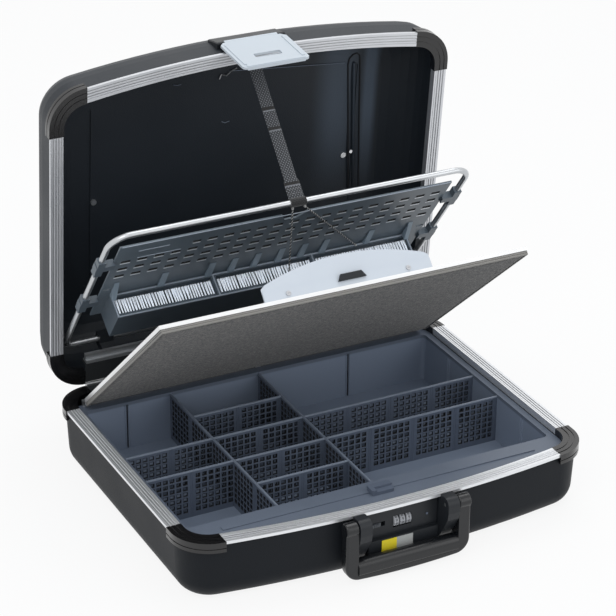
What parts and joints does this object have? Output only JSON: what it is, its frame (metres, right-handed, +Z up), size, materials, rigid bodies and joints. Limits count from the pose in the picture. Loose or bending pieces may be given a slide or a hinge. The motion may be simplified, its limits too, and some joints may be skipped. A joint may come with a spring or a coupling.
{
  "type": "tool case",
  "caption": "Hard tool case with a hinged lid, foam-faced panel, brush-fitted tool pallet on a wire frame, divided tray, carrying handle and combination lock.",
  "frame": {"origin": "centre of the flat underside of the base", "axes": "+Z up, -Y towards the front with the lock and handle, +X to the right seen from the front; the lid stands open at the back"},
  "size_m": [0.4574, 0.4551, 0.4418],
  "materials": {
    "shell": "textured",
    "rim_aluminium": "brushed",
    "corner": "glossy",
    "hinge_band": "textured",
    "hinge_steel": "satin",
    "tray": "satin",
    "divider": "satin",
    "lock_black": "satin",
    "lock_grey": "satin",
    "label": "matte",
    "dial": "satin",
    "handle_black": "satin",
    "foam": "matte",
    "board": "matte",
    "edge_aluminium": "satin",
    "bracket": "satin",
    "screw": "polished",
    "wire": "polished",
    "pallet": "satin",
    "bristle": "matte",
    "cord": "matte",
    "webbing": "woven"
  },
  "bodies": {
    "case": {"base_shell": "shell", "base_rim_front": "rim_aluminium", "base_rim_left": "rim_aluminium", "base_rim_right": "rim_aluminium", "base_corners_front": "corner", "base_corners_back": "corner", "base_hinge_profile": "hinge_band", "base_hinge_leaf": "hinge_steel", "case_hinge_pin": "hinge_steel", "base_hinge_rail": "rim_aluminium", "panel_hinge_pin": "hinge_steel", "tray_insert": "tray", "tray_catch_block": "lock_black", "divider_long_left": "divider", "divider_long_middle": "divider", "dividers_left_pair": "divider", "dividers_short_pair": "divider", "dividers_right_pair": "divider", "lock_console": "lock_black", "dial_axle": "hinge_steel", "label_plate": "label", "handle_bosses": "lock_black", "handle_pins": "hinge_steel"},
    "lid": {"lid_shell": "shell", "lid_rim_front": "rim_aluminium", "lid_rim_left": "rim_aluminium", "lid_rim_right": "rim_aluminium", "lid_corners_front": "corner", "lid_corners_back": "corner", "lid_hinge_profile": "hinge_band", "lid_hinge_leaf": "hinge_steel", "lid_hinge_rail": "rim_aluminium", "lid_rivets": "screw", "pallet_brackets": "bracket", "flap_housing": "lock_black", "flap_hinge_pin": "hinge_steel", "strap_anchor": "lock_black"},
    "panel": {"panel_board": "board", "panel_foam": "foam", "panel_edge": "edge_aluminium", "panel_hinge_profile": "board", "panel_bracket": "bracket", "bracket_screws": "screw", "panel_catch": "lock_black"},
    "pallet": {"pallet_wire": "wire", "tool_plate": "pallet", "brush_shelf": "pallet", "brush_left": "bristle", "brush_middle": "bristle", "brush_right": "bristle", "wire_clips": "pallet", "tie_cords": "cord", "strap": "webbing"},
    "flap": {"lock_flap": "lock_grey"},
    "handle": {"handle_frame": "handle_black", "handle_grip": "handle_black"},
    "dial_1": {"code_dial_1": "dial"},
    "dial_2": {"code_dial_2": "dial"},
    "dial_3": {"code_dial_3": "dial"},
    "slider": {"lock_slider": "lock_grey"}
  },
  "joints": [
    {"name": "lid_hinge", "type": "hinge", "parent": "case", "child": "lid", "pos_m": [0, 0.1842, 0.0712], "axis": [1, 0, 0], "range_deg": [0, 84.1]},
    {"name": "panel_hinge", "type": "hinge", "parent": "case", "child": "panel", "pos_m": [0, 0.15, 0.069], "axis": [1, 0, 0], "range_deg": [0, 41.2]},
    {"name": "pallet_hinge", "type": "hinge", "parent": "lid", "child": "pallet", "pos_m": [0, 0.20001, 0.11476], "axis": [1, 0, 0], "range_deg": [-41.1, 0], "deforming": ["strap"]},
    {"name": "flap_hinge", "type": "hinge", "parent": "lid", "child": "flap", "pos_m": [0, 0.16543, 0.43962], "axis": [-1, 0, 0], "range_deg": [0, 30]},
    {"name": "handle_hinge", "type": "hinge", "parent": "case", "child": "handle", "pos_m": [0, -0.1905, 0.063], "axis": [-1, 0, 0], "range_deg": [0, 95]},
    {"name": "dial_1_spin", "type": "hinge", "parent": "case", "child": "dial_1", "pos_m": [-0.007, -0.172, 0.049], "axis": [1, 0, 0], "continuous": true},
    {"name": "dial_2_spin", "type": "hinge", "parent": "case", "child": "dial_2", "pos_m": [0, -0.172, 0.049], "axis": [1, 0, 0], "continuous": true},
    {"name": "dial_3_spin", "type": "hinge", "parent": "case", "child": "dial_3", "pos_m": [0.007, -0.172, 0.049], "axis": [1, 0, 0], "continuous": true},
    {"name": "slider_slide", "type": "slide", "parent": "case", "child": "slider", "axis": [1, 0, 0], "range_m": [0, 0.004], "stiffness_N_per_m": 100}
  ],
  "couplings": [
    {"joint": "panel_hinge", "follows": "lid_hinge", "ratio": 0.48989},
    {"joint": "pallet_hinge", "follows": "lid_hinge", "ratio": -0.4887}
  ]
}
